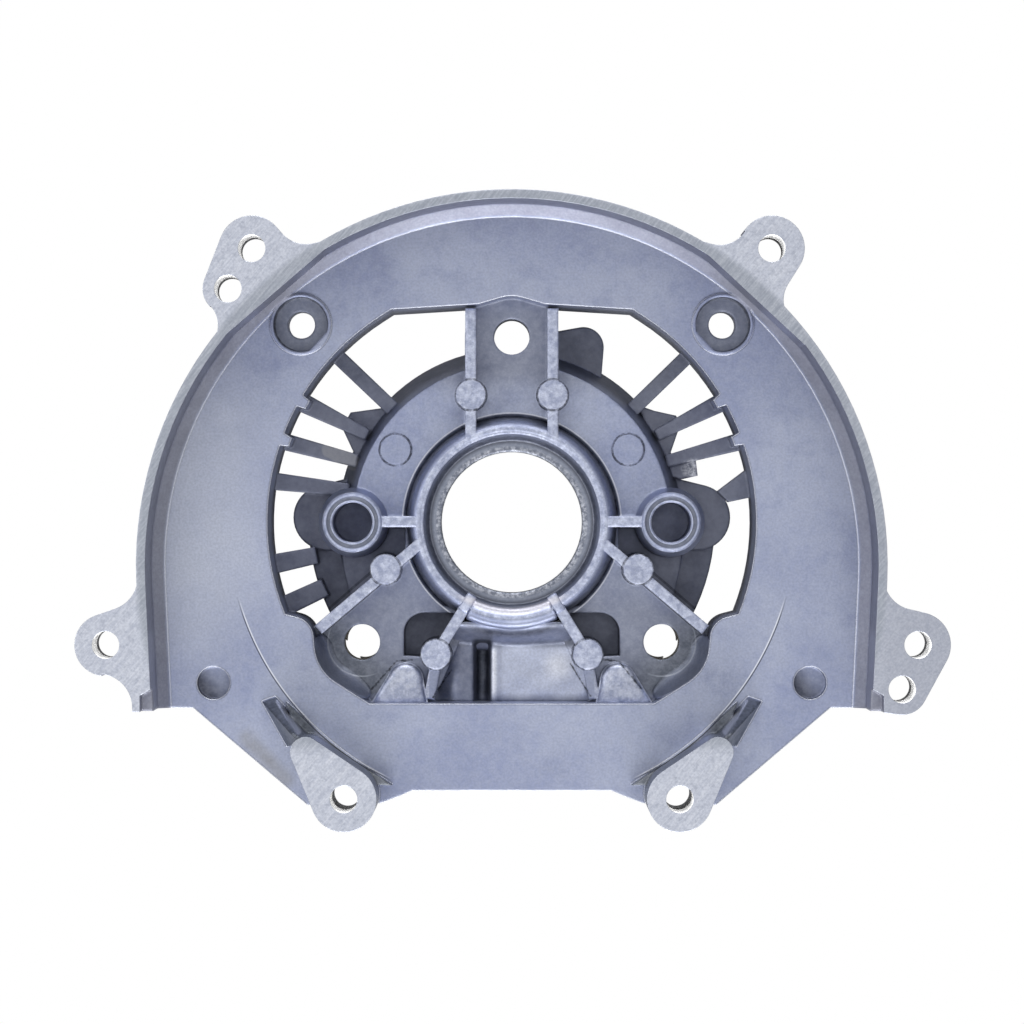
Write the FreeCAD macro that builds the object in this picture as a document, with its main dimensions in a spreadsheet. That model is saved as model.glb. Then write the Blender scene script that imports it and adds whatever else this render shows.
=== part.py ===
import FreeCAD, Part
import math
import os
from FreeCAD import Vector

# Flywheel-side half of the crankcase of a small air-cooled engine, one aluminium die casting.
# The main bore's axis is Z, the joint face that meets the other half lies on Z = 0 and the
# machined rim that carries the fan cover is on top. All sizes are in millimetres.

NODE = "crankcase_half"
doc = FreeCAD.newDocument("crankcase")
sheet = doc.addObject("Spreadsheet::Sheet", "Sizes")

SIZES = [
    # Levels above the joint face
    ("joint", 0, "joint face"),
    ("flange_top", 6, "joint flange, upper side"),
    ("chamber_top", 16, "crank chamber, end wall"),
    ("seat_bottom", 10, "lower end of the bearing seat"),
    ("spoke_bottom", 9, "grille spokes, lower side"),
    ("spoke_top", 14, "grille spokes, upper side"),
    ("disc_top", 20, "hub disc and stud lands"),
    ("web_bottom", 12, "lower web, back side"),
    ("pocket_floor", 11, "deep pockets beside the ribs"),
    ("pocket_back", 8, "back side of the deep pockets"),
    ("skirt_bottom", 9, "lower edge of the opening's wall"),
    ("floor_bottom", 24, "floor plate, back side"),
    ("floor_top", 28, "floor plate, upper side"),
    ("rib_top", 26, "ribs, their round pads and the coil bosses"),
    ("ear_bottom", 32, "ears, lower side"),
    ("rim_top", 48, "machined rim, ears and cover bosses"),
    # Ring wall and floor plate
    ("ring_y", -10.16, "axis of the ring wall below the bore axis"),
    ("ring_outer", 90.3, "ring wall, outer radius"),
    ("ring_inner", 88.15, "ring wall, inner radius"),
    ("ring_end_y", -45.5, "lower end of the ring wall and floor"),
    ("ring_end_in", 86.6, "inner side of the ring wall at its end"),
    ("ring_end_out", 88.9, "outer side of the ring wall at its end"),
    ("cove_width", 3.0, "slope between ring wall and floor"),
    # Fixing holes
    ("screw_hole", 6.6, "clearance hole for an M6 screw"),
    ("ear_hole_x", 97.6, "side ears, from the bore axis"),
    ("ear_hole_y", -29.4, "side ears, from the bore axis"),
    ("top_hole_x", 62.5, "upper ears, from the bore axis"),
    ("top_hole_y", 65.9, "upper ears, from the bore axis"),
    ("boss_hole_x", 40.4, "cover bosses, from the bore axis"),
    ("boss_hole_y", -66.5, "cover bosses, from the bore axis"),
    ("left_pair_x", -68.2, "second hole of the upper left ear"),
    ("left_pair_y", 56.2, "second hole of the upper left ear"),
    ("right_pair_x", 93.8, "second hole of the right ear"),
    ("right_pair_y", -40.1, "second hole of the right ear"),
    ("ear_radius", 7.9, "round end of an ear or cover boss"),
    ("pair_radius", 6.1, "round end about a second hole"),
    # Counterbored and blind holes of the floor
    ("sink_x", 51.8, "counterbored holes, from the bore axis"),
    ("sink_y", 48.6, "counterbored holes, from the bore axis"),
    ("sink_radius", 6.75, "counterbore"),
    ("sink_flat", 6.0, "flat of the counterbore, from its centre"),
    ("sink_lip", 7.5, "raised lip round the counterbore"),
    ("sink_lip_top", 28.5, "top of that lip"),
    ("sink_floor", 24, "bottom of the counterbore"),
    ("sink_boss", 9.5, "boss below the counterbore"),
    ("sink_back", 17.4, "lower end of that boss"),
    ("dimple_x", 73.2, "blind round recesses, from the bore axis"),
    ("dimple_y", -39.4, "blind round recesses, from the bore axis"),
    ("dimple_radius", 4.0, "blind round recess"),
    ("dimple_floor", 25.2, "bottom of the recess"),
    # Hub
    ("bore", 35, "bearing seat, diameter"),
    ("seat_step", 40.8, "machined step above the seat, diameter"),
    ("seat_step_z", 21.2, "level of that step"),
    ("collar_in", 21.8, "collar top, inner radius"),
    ("collar_out", 23.5, "collar top, outer radius"),
    ("collar_foot", 24.9, "foot of the collar in the channel round it"),
    ("channel_out", 27.0, "outer edge of that channel"),
    ("channel_floor", 18.6, "bottom of that channel"),
    ("disc_radius", 39.3, "hub disc, upper edge"),
    ("hub_radius", 43.6, "hub wall at the joint flange"),
    ("chamber_radius", 32.5, "crank chamber"),
    ("seat_boss", 24, "bearing boss inside the chamber"),
    # Studs
    ("stud_hole", 8.8, "stud hole, diameter"),
    ("stud_top_y", 45.9, "upper stud, from the bore axis"),
    ("stud_side_x", 37.0, "lower studs, from the bore axis"),
    ("stud_side_y", -29.6, "lower studs, from the bore axis"),
    ("tower_bottom", 10, "land of the upper stud, back side"),
    # Ribs and pads
    ("rib_width", 2.7, "rib on the hub"),
    ("rib_x", 10.1, "upright ribs, from the bore axis"),
    ("rib_pad", 3.85, "round pad on a rib"),
    ("upper_pad_y", 31.4, "pads of the upright ribs, from the bore axis"),
    ("slant_pad_x", 31.1, "pads of the slanting ribs, from the bore axis"),
    ("slant_pad_y", -11.6, "pads of the slanting ribs, from the bore axis"),
    ("low_pad_x", 18.7, "pads of the lower ribs, from the bore axis"),
    ("low_pad_y", -32.5, "pads of the lower ribs, from the bore axis"),
    ("disc_pad", 3.95, "round pad on the disc"),
    ("disc_pad_x", 28.8, "pads on the disc, from the bore axis"),
    ("disc_pad_y", 18.0, "pads on the disc, from the bore axis"),
    ("disc_pad_top", 20.35, "top of that pad"),
    # Coil bosses
    ("coil_x", 39.2, "coil bosses, from the bore axis"),
    ("coil_hole", 4.9, "blind hole, radius"),
    ("coil_floor", 12, "bottom of the blind hole"),
    # Opening and grille
    ("opening_radius", 60, "opening in the floor plate"),
    ("opening_draft", 1.5, "draft of the opening's wall, degrees"),
    ("skirt_wall", 2.6, "wall below the floor round the opening"),
    ("lower_lobe", 11.5, "opening round a lower stud"),
    ("upper_lobe", 9.7, "opening round the upper stud"),
    ("opening_top", 53.3, "upper edge of the opening"),
    ("opening_low", -44.5, "lower edge of the opening"),
    ("flange_radius", 51, "joint flange, outer radius"),
    ("gusset_bottom", 6, "plates between spokes and hub, lower side"),
    ("gusset_top", 12, "plates between spokes and hub, upper side"),
    ("lug_top", 10, "lugs at the joint flange, upper side"),
    ("spoke_hold", 1.6, "how far the spokes reach into the opening's wall"),
    ("low_spoke_bottom", 5, "the two lowest spokes, lower side"),
    ("spoke_foot", 2.2, "foot of a spoke at the floor's edge, how far it reaches inward"),
    ("coil_foot", 8.6, "foot of a coil boss on the disc"),
    ("coil_draft", 11.8, "draft of a coil boss, degrees"),
    ("rib_root", 18, "ribs begin inside the disc"),
    ("cover_floor", 14, "floor of the pocket below the collar"),
    ("cover_back", 10, "back side of that pocket"),
    ("cover_block", 19.2, "blocks in that pocket"),
    ("cover_front", 31.4, "front of those blocks, below the bore axis"),
    ("cover_end", 45, "far end of those blocks, below the bore axis"),
    ("ramp_left", -12.25, "ramp from the collar's channel to those blocks, left side"),
    ("ramp_right", 12.25, "the same ramp, right side"),
    ("boss_foot", 69.6, "arc at the foot of the cover bosses, radius about the bore axis"),
    ("boss_foot_top", 32, "top of that foot"),
    ("corner_hump", 22.5, "rounded humps at the opening's lower corners"),
    ("notch_floor", 43, "notches at the ends of the rim"),
    ("gusset_peak", 44, "ridges that lean on the cover bosses"),
]

for row, (alias, value, note) in enumerate(SIZES, start=1):
    sheet.set(f"A{row}", alias)
    sheet.set(f"B{row}", str(value))
    sheet.set(f"C{row}", note)
    sheet.setAlias(f"B{row}", alias)
doc.recompute()


def size(alias):
    """A driving dimension as a number."""
    return float(sheet.get(alias))


def pair(name):
    """A point of the sheet and its mirror image, as (x, y)."""
    x, y = size(name + "_x"), size(name + "_y")
    return [(-x, y), (x, y)]


bodies = []


def start_body(name):
    """Open the next of the bodies that are joined to the casting at the end."""
    bodies.append(doc.addObject("PartDesign::Body", name))


# Outlines

def tangent(first, second):
    """Line that touches two circles; a positive radius is left of the way, a negative one right."""
    (x1, y1, r1), (x2, y2, r2) = first, second
    gap = math.hypot(x2 - x1, y2 - y1)
    lean = max(-1.0, min(1.0, (r2 - r1) / gap))
    way = math.atan2(y2 - y1, x2 - x1) - math.asin(lean)
    left = Vector(-math.sin(way), math.cos(way), 0)
    return Vector(x1, y1, 0) - left * r1, Vector(x2, y2, 0) - left * r2


def belt(nodes):
    """Closed outline drawn round circles and points, anticlockwise about positive radii."""
    count = len(nodes)
    lines = [tangent(nodes[i], nodes[(i + 1) % count]) for i in range(count)]
    edges = []
    for i, (x, y, radius) in enumerate(nodes):
        arrive, leave = lines[i - 1][1], lines[i][0]
        if radius and (arrive - leave).Length > 1e-6:
            start, end = (arrive, leave) if radius > 0 else (leave, arrive)
            circle = Part.Circle(Vector(x, y, 0), Vector(0, 0, 1), abs(radius))
            edges.append(Part.ArcOfCircle(circle, math.atan2(start.y - y, start.x - x),
                                          math.atan2(end.y - y, end.x - x)))
        if (lines[i][1] - lines[i][0]).Length > 1e-6:
            edges.append(Part.LineSegment(*lines[i]))
    return edges


def disc(x, y, radius):
    """A full circle."""
    return [Part.Circle(Vector(x, y, 0), Vector(0, 0, 1), radius)]


def mirrored(nodes):
    """The same nodes on the other side of X = 0, in the order that keeps the way round."""
    return [(-x, y, radius) for x, y, radius in reversed(nodes)]


def polar(radius, degrees):
    """Point at a radius and an angle about the bore axis."""
    return radius * math.cos(math.radians(degrees)), radius * math.sin(math.radians(degrees))


def bar(start, end, width, end_width=None):
    """Straight bar between two points, which may taper."""
    (x1, y1), (x2, y2) = start, end
    length = math.hypot(x2 - x1, y2 - y1)
    nx, ny = -(y2 - y1) / length / 2, (x2 - x1) / length / 2
    far = width if end_width is None else end_width
    return [(x1 - nx * width, y1 - ny * width, 0), (x2 - nx * far, y2 - ny * far, 0),
            (x2 + nx * far, y2 + ny * far, 0), (x1 + nx * width, y1 + ny * width, 0)]


def flatted(x, y, radius, flat, toward):
    """Circle with a chord cut off on the side of an angle."""
    half = math.degrees(math.acos(flat / radius))
    first, last = math.radians(toward + half), math.radians(toward + 360 - half)
    circle = Part.Circle(Vector(x, y, 0), Vector(0, 0, 1), radius)
    ends = [Vector(x + radius * math.cos(t), y + radius * math.sin(t), 0) for t in (last, first)]
    return [Part.ArcOfCircle(circle, first, last), Part.LineSegment(*ends)]


# Features

def sketch(name, outlines, level=None, role="XY_Plane"):
    """Sketch on a plane of the body, which a level of the sheet moves along its normal."""
    body = bodies[-1]
    plane = body.newObject("Sketcher::SketchObject", name + "Sketch")
    base = next(f for f in body.Origin.OriginFeatures if f.Role == role)
    plane.AttachmentSupport = [(base, "")]
    plane.MapMode = "FlatFace"
    if level:
        plane.setExpression("AttachmentOffset.Base.z", "Sizes." + level)
    for outline in outlines:
        plane.addGeometry(outline, False)
    return plane


def pad(name, outlines, bottom, top, draft=None, role="XY_Plane"):
    """Material between two levels."""
    feature = bodies[-1].newObject("PartDesign::Pad", name)
    feature.Profile = sketch(name, outlines, bottom, role)
    feature.setExpression("Length", f"Sizes.{top} - Sizes.{bottom}")
    if draft:
        feature.setExpression("TaperAngle", draft)
    finish(feature)
    return feature


def pocket(name, outlines, top, bottom, draft=None):
    """Room from a level downward to another."""
    feature = bodies[-1].newObject("PartDesign::Pocket", name)
    feature.Profile = sketch(name, outlines, top)
    feature.setExpression("Length", f"Sizes.{top} - Sizes.{bottom}")
    if draft:
        feature.setExpression("TaperAngle", draft)
    finish(feature)
    return feature


def turned(kind, name, profile):
    """Profile of radius and height turned about the bore axis."""
    plane = sketch(name, [belt(profile)], role="XZ_Plane")
    feature = bodies[-1].newObject(kind, name)
    feature.Profile = plane
    feature.ReferenceAxis = (plane, ["V_Axis"])
    feature.Angle = 360
    finish(feature)
    return feature


def finish(feature):
    """Recompute and make sure that the feature worked."""
    feature.Profile[0].Visibility = False
    doc.recompute()
    if "Invalid" in feature.State or "Error" in feature.State or feature.Shape.isNull():
        raise RuntimeError(f"{feature.Name} failed: {feature.State}")


def level_edges(shape, level):
    """Numbers and edges of a shape that lie in a level of the sheet."""
    height = size(level)
    for number, edge in enumerate(shape.Edges, start=1):
        box = edge.BoundBox
        if abs(box.ZMin - height) < 1e-4 and abs(box.ZMax - height) < 1e-4:
            yield number, edge


# Floor plate and ring wall

start_body("FanHousing")
ring_y = size("ring_y")
end_y = size("ring_end_y")
floor_side = [(-78.2, end_y, 0), (-50.2, -69.3, 0), (-40.4, -70.5, 0), (-31.9, -68.8, 0),
              (-27.4, -67.1, 0), (-24.4, -65.8, 0)]
end_middle = (size("ring_end_in") + size("ring_end_out")) / 2
floor_outline = belt([(0, ring_y, (size("ring_outer") + size("ring_inner")) / 2), (-end_middle, end_y, 0)]
                     + floor_side + mirrored(floor_side) + [(end_middle, end_y, 0)])
pad("Floor", [floor_outline], "floor_bottom", "floor_top")

ring_outline = belt([(0, ring_y, size("ring_outer")), (-size("ring_end_out"), end_y, 0),
                     (-size("ring_end_in"), end_y, 0), (0, ring_y, -size("ring_inner")),
                     (size("ring_end_in"), end_y, 0), (size("ring_end_out"), end_y, 0)])
ring = pad("RingWall", [ring_outline], "floor_bottom", "rim_top")

# A slope of 45 degrees runs along the inner foot of the ring wall, its long arc and straight ends.
foot = []
for number, edge in level_edges(ring.Shape, "floor_top"):
    middle = edge.valueAt((edge.FirstParameter + edge.LastParameter) / 2)
    if edge.Length > 20 and abs(middle.x) < size("ring_end_out") - 0.6 and middle.y > end_y:
        foot.append(f"Edge{number}")
cove = bodies[-1].newObject("PartDesign::Chamfer", "Cove")
cove.Base = (ring, foot)
cove.setExpression("Size", "Sizes.cove_width")
doc.recompute()

# Ears and cover bosses, which end in the machined plane of the rim

ear_radius = size("ear_radius")
pair_radius = size("pair_radius")
side = size("ear_hole_x"), size("ear_hole_y")
top = size("top_hole_x"), size("top_hole_y")
boss = size("boss_hole_x"), size("boss_hole_y")
left_pair = size("left_pair_x"), size("left_pair_y")
right_pair = size("right_pair_x"), size("right_pair_y")
ear_outlines = [
    belt([(70.4, 42.7, 0), (72.3, 53.5, -7.0), (top[0], top[1], ear_radius), (50.0, 73.9, -7.2),
          (42.8, 68.4, 0)]),
    belt([(-41.3, 68.8, 0), (-49.4, 74.6, -7.7), (-top[0], top[1], ear_radius),
          (left_pair[0], left_pair[1], pair_radius), (-77.3, 47.5, -6.7), (-73.0, 41.5, 0)]),
    belt([(-89.2, -9.0, 0), (-97.9, -13.1, -8.0), (-side[0], side[1], ear_radius - 0.4),
          (-99.4, -44.5, -8.2), (-91.2, end_y, 0), (-87.2, end_y, 0)]),
    belt([(87.2, end_y, 0), (88.4, end_y, 0), (right_pair[0], right_pair[1], pair_radius),
          (side[0], side[1], ear_radius), (97.3, -13.1, -7.9), (89.2, -9.0, 0)]),
]
pad("Ears", ear_outlines, "ear_bottom", "rim_top")

boss_nodes = [(-49.6, -55.2, 3.7), (-boss[0], boss[1], ear_radius)]
pad("CoverBosses", [belt(boss_nodes), belt(mirrored(boss_nodes))], "floor_bottom", "rim_top")

# Opening of the grille with the wall round it

stud_top = 0.0, size("stud_top_y")
stud_side = size("stud_side_x"), size("stud_side_y")


def opening(grow):
    """Outline of the opening, made larger all round by grow."""
    radius = size("opening_radius") + grow
    high = size("opening_top") + grow
    low = size("opening_low") - grow
    right = [
        (34.9, low, 0),
        (stud_side[0], stud_side[1], size("lower_lobe") + grow),
        (53.9, -28.3, -5.2 + grow),
        (*polar(radius, -22), 0),
        (0, 0, radius),
        (29.6 + grow / 2, high - 1.0, 0),
    ]
    if not grow:
        right.append((8.5, high + 2.5, -2.2))
    return belt(right + [(stud_top[0], stud_top[1], size("upper_lobe") + grow)] + mirrored(right))


pad("Skirt", [opening(size("skirt_wall"))], "skirt_bottom", "floor_bottom")
sinks = pair("sink")
dimples = pair("dimple")
pad("SinkBosses", [disc(x, y, size("sink_boss")) for x, y in sinks], "sink_back", "floor_bottom")
pocket("Opening", [opening(0)], "floor_top", "skirt_bottom", "Sizes.opening_draft * -1")

# Feet of the cover bosses and lips of the counterbores

foot_radius = size("boss_foot")
foot_left = [(*polar(foot_radius + 1.0, 218.5), 0), (*polar(foot_radius + 4.4, 225.5), 0),
             (*polar(foot_radius + 5.6, 238.0), 0), (*polar(foot_radius + 1.0, 245.5), 0), (0, 0, -foot_radius)]
pad("BossFeet", [belt(foot_left), belt(mirrored(foot_left))], "floor_bottom", "boss_foot_top")
pad("SinkLips", [disc(x, y, size("sink_lip")) for x, y in sinks], "floor_bottom", "sink_lip_top")

# Ridges that rise from the floor to the cover bosses

foot_nodes = [(-61.4, -43.8, 0), (-55.2, -55.0, 0), (-49.5, -51.6, 0), (-58.1, -42.6, 0)]
peak_nodes = [(-53.2, -51.2, 0), (-50.9, -53.4, 0), (-50.0, -52.6, 0), (-52.7, -50.8, 0)]
ridges = [("RidgeLeft", foot_nodes, peak_nodes),
          ("RidgeRight", mirrored(foot_nodes), mirrored(peak_nodes))]
for name, low_nodes, high_nodes in ridges:
    ridge = bodies[-1].newObject("PartDesign::AdditiveLoft", name)
    ridge.Profile = sketch(name + "Foot", [belt(low_nodes)], "floor_top")
    ridge.Sections = [sketch(name + "Peak", [belt(high_nodes)], "gusset_peak")]
    ridge.Ruled = True
    finish(ridge)

# Holes and recesses of the housing

counterbores = []
for x, y in sinks:
    toward_bore = math.degrees(math.atan2(-y, -x))
    counterbores.append(flatted(x, y, size("sink_radius"), size("sink_flat"), toward_bore))
pocket("Counterbores", counterbores, "sink_lip_top", "sink_floor")
screw = size("screw_hole") / 2
pocket("SinkHoles", [disc(x, y, screw) for x, y in sinks], "sink_floor", "sink_back")
pocket("Dimples", [disc(x, y, size("dimple_radius")) for x, y in dimples], "floor_top", "dimple_floor")
ear_holes = [side, (-side[0], side[1]), top, (-top[0], top[1]), left_pair, right_pair]
pocket("EarHoles", [disc(x, y, screw) for x, y in ear_holes], "rim_top", "ear_bottom")
pocket("CoverHoles", [disc(x, y, screw) for x, y in pair("boss_hole")], "rim_top", "floor_bottom")
notch = [(-89.4, -47.0, 0), (-85.0, -47.0, 0), (-85.0, -39.5, 0), (-87.0, -40.2, 0), (-89.4, -41.6, 0)]
pocket("RimNotches", [belt(notch), belt(mirrored(notch))], "rim_top", "notch_floor")

# Grille: spokes from the opening's wall to the hub, with plates and a broken stub at the hub

start_body("Grille")
spoke_end = size("opening_radius") + size("spoke_hold")
spokes = [
    bar(polar(spoke_end, 136.4), polar(41, 136.4), 3.8, 3.7),
    bar(polar(spoke_end, 150.3), polar(42, 148.8), 5.0, 2.8),
    bar(polar(spoke_end, 160.6), polar(41.5, 158.4), 4.3, 3.2),
    bar(polar(spoke_end, 170.3), polar(41.5, 168.8), 4.5, 3.2),
    bar(polar(spoke_end, 43.4), polar(41, 43.0), 3.7, 3.6),
    bar(polar(spoke_end, 29.7), polar(42, 31.0), 4.8, 2.7),
    bar(polar(spoke_end, 19.4), polar(41.5, 21.5), 4.5, 3.0),
    [(51.2, 7.7, 0), (53.9, 5.0, 0), (61.0, 6.5, 0), (60.3, 14.6, 0)],
]
pad("Spokes", [belt(spoke) for spoke in spokes], "spoke_bottom", "spoke_top")
low_spokes = [
    bar(polar(spoke_end, 190.0), polar(49.3, 189.6), 5.0, 4.2),
    bar(polar(spoke_end, 200.4), polar(49.3, 199.2), 5.1, 4.6),
]
pad("LowSpokes", [belt(spoke) for spoke in low_spokes], "low_spoke_bottom", "spoke_top")
foot_out = size("opening_radius") + 1
foot_in = size("opening_radius") - size("spoke_foot")
feet = [bar(polar(foot_out, angle), polar(foot_in, angle), 3.6, 2.2) for angle in (150.1, 160.1, 20.1, 30.2)]
pad("SpokeFeet", [belt(foot) for foot in feet], "spoke_bottom", "floor_top")
gusset_left = [(-42.4, 23.7, 0), (-38.8, 16.0, 0), (-29.0, 20.4, 0), (-31.5, 28.6, 0), (-40.2, 27.4, 0)]
gusset_right = [(39.0, 15.5, 0), (42.0, 24.2, 0), (41.0, 26.6, 0), (35.6, 27.8, 0), (31.0, 29.4, 0)]
stub = [(38.5, 12.0, 0), (42.0, 10.6, 0), (46.4, 11.6, 0), (45.9, 15.7, 0), (38.5, 17.0, 0)]
pad("Gussets", [belt(gusset_left), belt(gusset_right), belt(stub)], "gusset_bottom", "gusset_top")

# Hub, turned as one solid: flange, sloping wall, disc and collar

start_body("Hub")
rib_top = size("rib_top")
disc_top = size("disc_top")
hub = [
    (0, 0, 0),
    (size("hub_radius"), 0, 0),
    (size("hub_radius"), size("flange_top"), 0),
    (size("disc_radius"), disc_top, 0),
    (size("collar_foot"), disc_top, 0),
    (size("collar_out"), rib_top, 0),
    (0, rib_top, 0),
]
turned("PartDesign::Revolution", "HubForm", hub)

# Lugs and wider sectors of the joint flange

coil_x = size("coil_x")
lug_left = [(-35.0, 12.5, 0), (-46.4, 1.2, 8.2), (-35.0, -7.0, 0)]
lug_upper = [(9.0, 36.0, 0), (22.4, 36.0, 0), (17.9, 43.7, 5.1), (9.0, 47.3, 0)]
pad("Lugs", [belt(lug_left), belt(mirrored(lug_left))], "joint", "lug_top")
pad("UpperLug", [belt(lug_upper)], "joint", "lug_top")
flange = [(20, -3.0, 0), (*polar(size("flange_radius"), 182), 0), (0, 0, size("flange_radius")),
          (*polar(size("flange_radius"), -2), 0)]
pad("Flange", [belt(flange)], "joint", "flange_top")

# Lands round the studs and the web below the hub

tower = size("rib_x") + size("rib_width") / 2 + 0.15
pad("StudTower", [belt([(-tower, 30, 0), (tower, 30, 0), (stud_top[0], stud_top[1], tower)])],
    "tower_bottom", "disc_top")
web = [(36, -46.5, 0), (45.5, -42.8, 0), (50.6, -36, 0), (51.0, -27.5, 0), (47.4, -24.4, 0), (23.9, -5.0, 0)]
pad("Web", [belt(web + mirrored(web))], "web_bottom", "disc_top")

# Channel round the collar, crank chamber, bearing seat and machined step, all turned

turned("PartDesign::Groove", "CollarChannel", [
    (size("collar_foot"), disc_top + 0.1, 0),
    (size("collar_foot") + 0.2, size("channel_floor"), 0),
    (size("channel_out"), disc_top + 0.1, 0),
])

chamber = size("chamber_radius")
seat = size("bore") / 2
step = size("seat_step") / 2
step_z = size("seat_step_z")
turned("PartDesign::Groove", "ChamberAndSeat", [
    (0, -1, 0),
    (chamber, -1, 0),
    (chamber, size("chamber_top"), 0),
    (size("seat_boss"), size("chamber_top"), 0),
    (size("seat_boss"), size("seat_bottom"), 0),
    (seat, size("seat_bottom"), 0),
    (seat, step_z, 0),
    (step, step_z, 0),
    (size("collar_in"), rib_top, 0),
    (size("collar_in"), rib_top + 1, 0),
    (0, rib_top + 1, 0),
])

# Deep pockets: two sectors beside the coil bosses, two beside the lower ribs, one below the collar

sector = [(25.0, 0.5, 0), (25.0, -7.5, 0), (40.0, -20.2, 0), (42.0, -11.8, 0), (43.4, 0.5, 0)]
beside = [(-13.4, -20.8, 0), (-20.8, -20.4, 0), (-21.7, -27.4, 7.0), (-28.4, -34.5, 0), (-18.8, -36.0, 0)]
centre = [(-12.4, -24.8, 0), (-19.8, -46.0, 0), (19.8, -46.0, 0), (12.4, -24.8, 0)]
pad("SectorBlocks", [belt(sector), belt(mirrored(sector))], "pocket_back", "disc_top")
pad("SideBlocks", [belt(beside), belt(mirrored(beside))], "pocket_back", "disc_top")
pad("CentreBlock", [belt(centre)], "cover_back", "disc_top")

sector_room = [(26.3, -1.35, 0), (26.3, -6.6, 0), (47.7, -24.6, 0), (53.0, -20.0, 0), (53.0, -1.35, 0)]
beside_room = [(-13.6, -24.3, 0), (-14.5, -22.4, 0), (-21.6, -27.4, 5.1), (-26.7, -33.0, 0),
               (-17.6, -33.4, 0)]
centre_room = [(-11.6, -26.4, 0), (-18.9, -43.2, 0), (-18.9, -44.4, 0), (18.9, -44.4, 0), (18.9, -43.2, 0),
               (11.6, -26.4, 0)]
pocket("SectorPockets", [belt(sector_room), belt(mirrored(sector_room))], "disc_top", "pocket_floor")
pocket("SidePockets", [belt(beside_room), belt(mirrored(beside_room))], "disc_top", "pocket_floor")
pocket("CentrePocket", [belt(centre_room)], "disc_top", "cover_floor")

# Block and long hump below the collar, drawn across, and the ramp up to the channel, drawn from the side

block_top = size("cover_block")
block_root = size("cover_floor") - 1
block = [(-6.3, block_root, 0), (19.6, block_root, 0), (18.6, block_top, 0), (-3.0, block_top - 2.6, 2.6)]
long_hump = [(-19.6, block_root, 0), (-8.7, block_root, 0), (-11.7, block_top - 3.0, 2.8),
             (-18.6, block_top - 2.6, 0)]
pad("CoverBlock", [belt(block)], "cover_front", "cover_end", role="XZ_Plane")
pad("CoverHump", [belt(long_hump)], "cover_front", "cover_end", role="XZ_Plane")
ramp_foot = -size("cover_front") - 0.4
ramp = [(ramp_foot, block_root, 0), (-25.8, block_root, 0), (-25.8, disc_top - 0.1, 0),
        (-27.0, disc_top - 0.5, 0), (ramp_foot, 16.0, 0)]
pad("CoverRamp", [belt(ramp)], "ramp_left", "ramp_right", role="YZ_Plane")

# Humps in the opening's lower corners

hump = [(-35.0, -44.9, 0), (-20.6, -44.9, 0), (-26.2, -39.0, 4.4)]
pad("CornerHumps", [belt(hump), belt(mirrored(hump))], "cover_floor", "corner_hump")

# Coil bosses, ribs and round pads

coil_pads = [disc(coil_x, 0, size("coil_foot")), disc(-coil_x, 0, size("coil_foot"))]
pad("CoilBosses", coil_pads, "flange_top", "disc_top")
pad("CoilCones", coil_pads, "disc_top", "rib_top", "Sizes.coil_draft * -1")

width = size("rib_width")
rib_x = size("rib_x")
collar_mid = (size("collar_in") + size("collar_out")) / 2
right_ribs = [
    bar((rib_x, 20.3), (rib_x, 52.6), width),
    bar((collar_mid, 0.2), (coil_x - size("coil_hole") - 1.4, 0.2), width),
    bar((22.0, -4.7), (47.6, -26.4), width),
    bar((10.8, -19.7), (size("low_pad_x"), size("low_pad_y")), width),
]
for name, side_ribs in (("RibsRight", right_ribs), ("RibsLeft", [mirrored(rib) for rib in right_ribs])):
    pad(name, [belt(rib) for rib in side_ribs], "rib_root", "rib_top")
low_ribs = [bar((18.0, -30.8), (20.4, -43.6), width), bar((-20.4, -43.6), (-18.0, -30.8), width)]
pad("LowRibs", [belt(rib) for rib in low_ribs], "cover_floor", "corner_hump")

pad_radius = size("rib_pad")
upper_pads = [disc(x, size("upper_pad_y"), pad_radius) for x in (-rib_x, rib_x)]
pad("UpperRibPads", upper_pads, "rib_root", "rib_top")
lower_pads = [disc(x, y, pad_radius) for x, y in pair("slant_pad") + pair("low_pad")]
pad("LowerRibPads", lower_pads, "pocket_back", "rib_top")
disc_pads = [disc(x, y, size("disc_pad")) for x, y in pair("disc_pad")]
pad("DiscPads", disc_pads, "rib_root", "disc_pad_top")

# Stud holes, with the hub wall cut back behind the upper one, and blind holes of the coil bosses

studs = [stud_top] + pair("stud_side")
relief = [(-5.6, 41.0, 0), (5.6, 41.0, 0), (5.6, 56.0, 0), (-5.6, 56.0, 0)]
pocket("TowerRelief", [belt(relief)], "tower_bottom", "joint")
pocket("StudHoles", [disc(x, y, size("stud_hole") / 2) for x, y in studs], "disc_top", "joint")
pocket("CoilHoles", [disc(x, 0, size("coil_hole")) for x in (-coil_x, coil_x)], "rib_top", "coil_floor")

# The casting is one solid of the three bodies

casting = doc.addObject("Part::MultiFuse", "CrankcaseHalf")
casting.Shapes = bodies
casting.Refine = True
casting.Label = NODE
doc.recompute()

# Check and hand over

for item in doc.Objects:
    if "Invalid" in item.State or "Error" in item.State:
        raise RuntimeError(f"{item.Name} is not right: {item.State}")
shape = casting.Shape
if shape.isNull() or not shape.isValid() or len(shape.Solids) != 1:
    raise RuntimeError(f"the casting is not one sound solid: {len(shape.Solids)} solids")
os.makedirs("parts", exist_ok=True)
shape.exportStep(f"parts/{NODE}.step")
print(NODE, "volume", round(shape.Volume), "box", shape.BoundBox, "faces", len(shape.Faces))
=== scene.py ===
import math

import bmesh
import bpy
from mathutils import Matrix, Vector


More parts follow.
